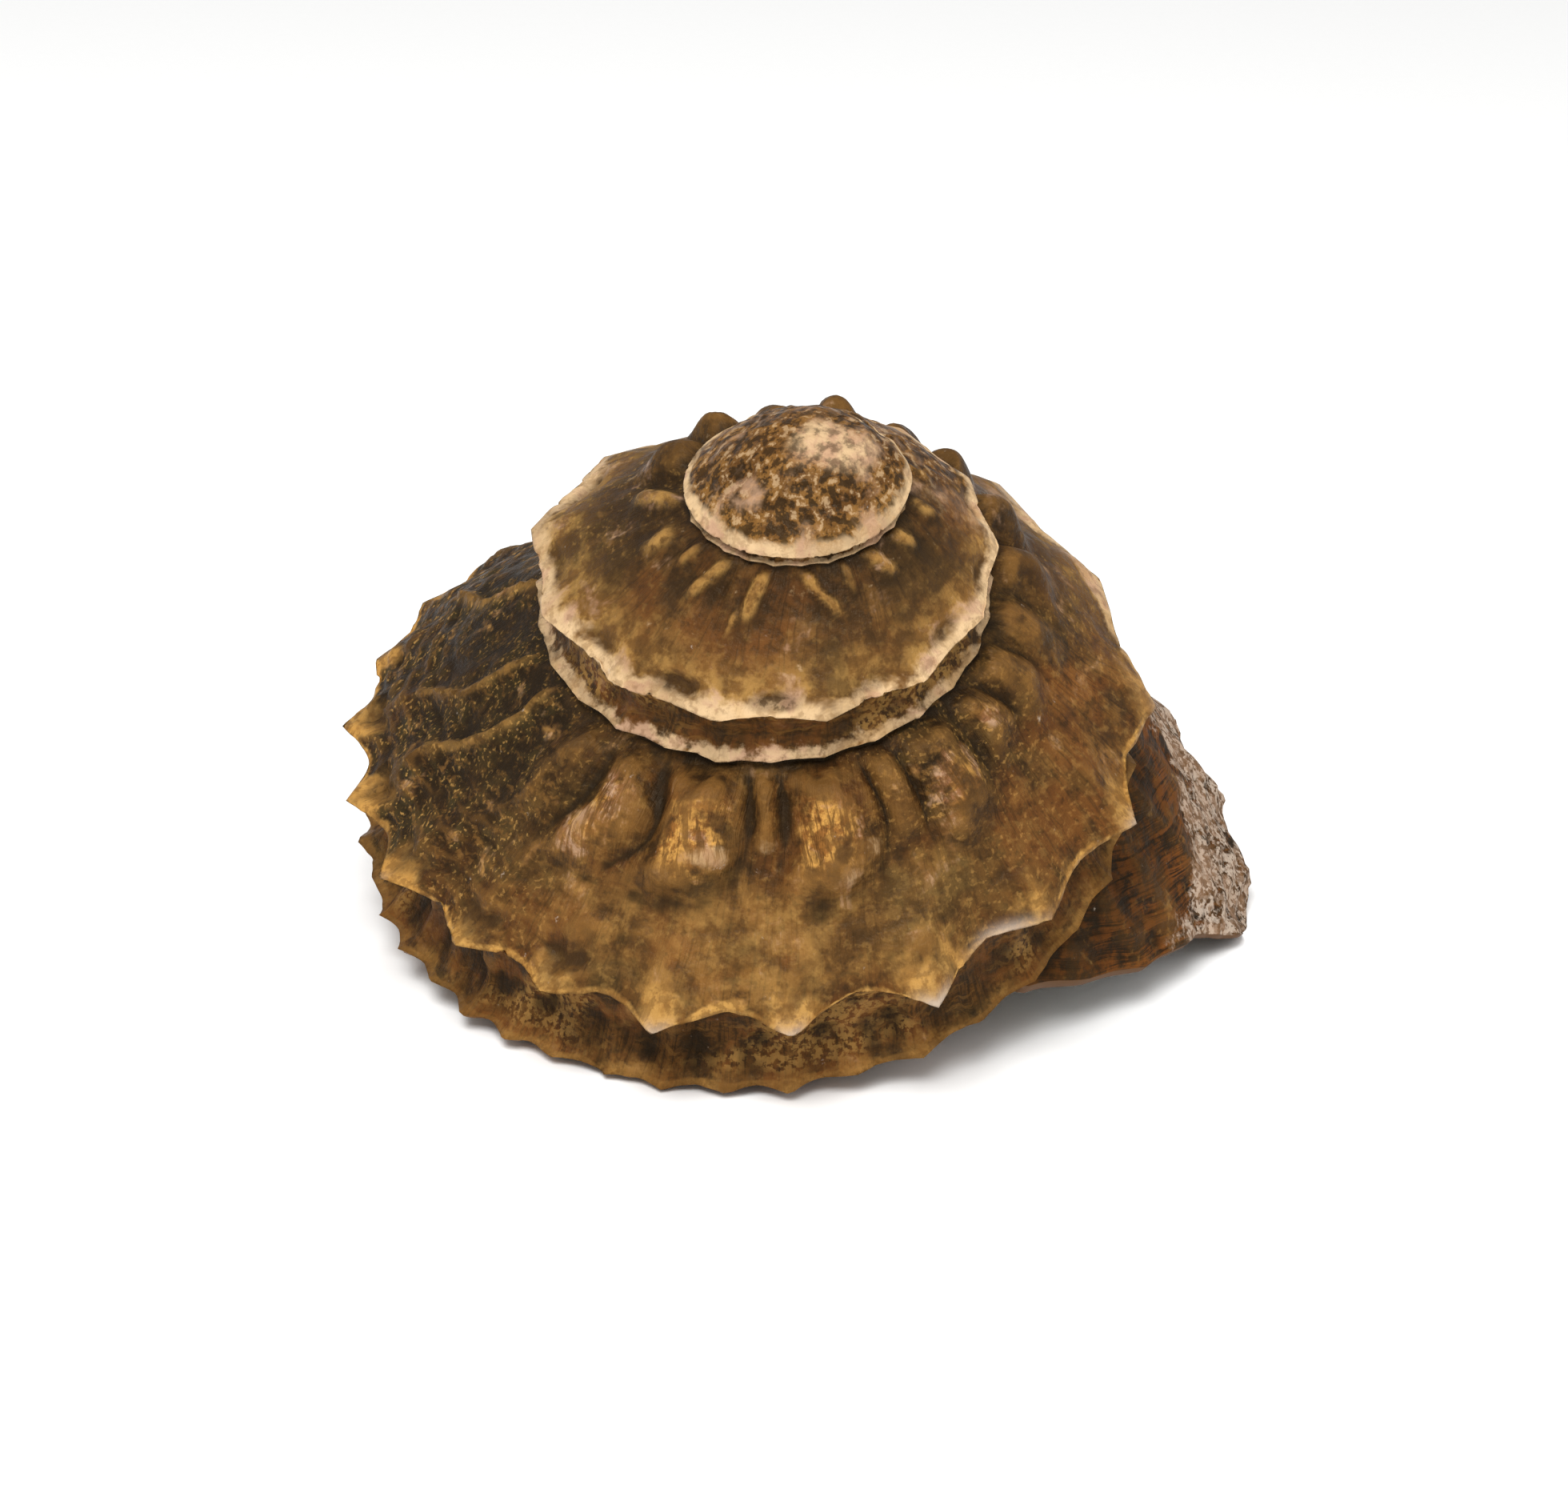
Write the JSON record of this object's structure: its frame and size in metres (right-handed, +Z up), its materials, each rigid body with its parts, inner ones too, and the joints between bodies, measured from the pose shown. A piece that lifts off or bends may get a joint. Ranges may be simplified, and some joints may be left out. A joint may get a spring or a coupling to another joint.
{
  "type": "turban shell",
  "caption": "Coiled sea-snail shell with a low spire, two keels, short spines, folded shoulders and an open mouth below; it rests on its base and lip.",
  "frame": {"origin": "middle of the footprint, on the surface the shell rests on", "axes": "+Z up, -Y the front, where the lip of the shoulder shows at the right, +X to the right"},
  "size_m": [0.0596, 0.0572, 0.0404],
  "materials": {
    "shell": "rough chalky shell, brown and ochre, with cream worn keels, a white crust by the lip and a pearly mouth"
  },
  "bodies": {
    "root": {"shell": "shell"}
  },
  "joints": []
}
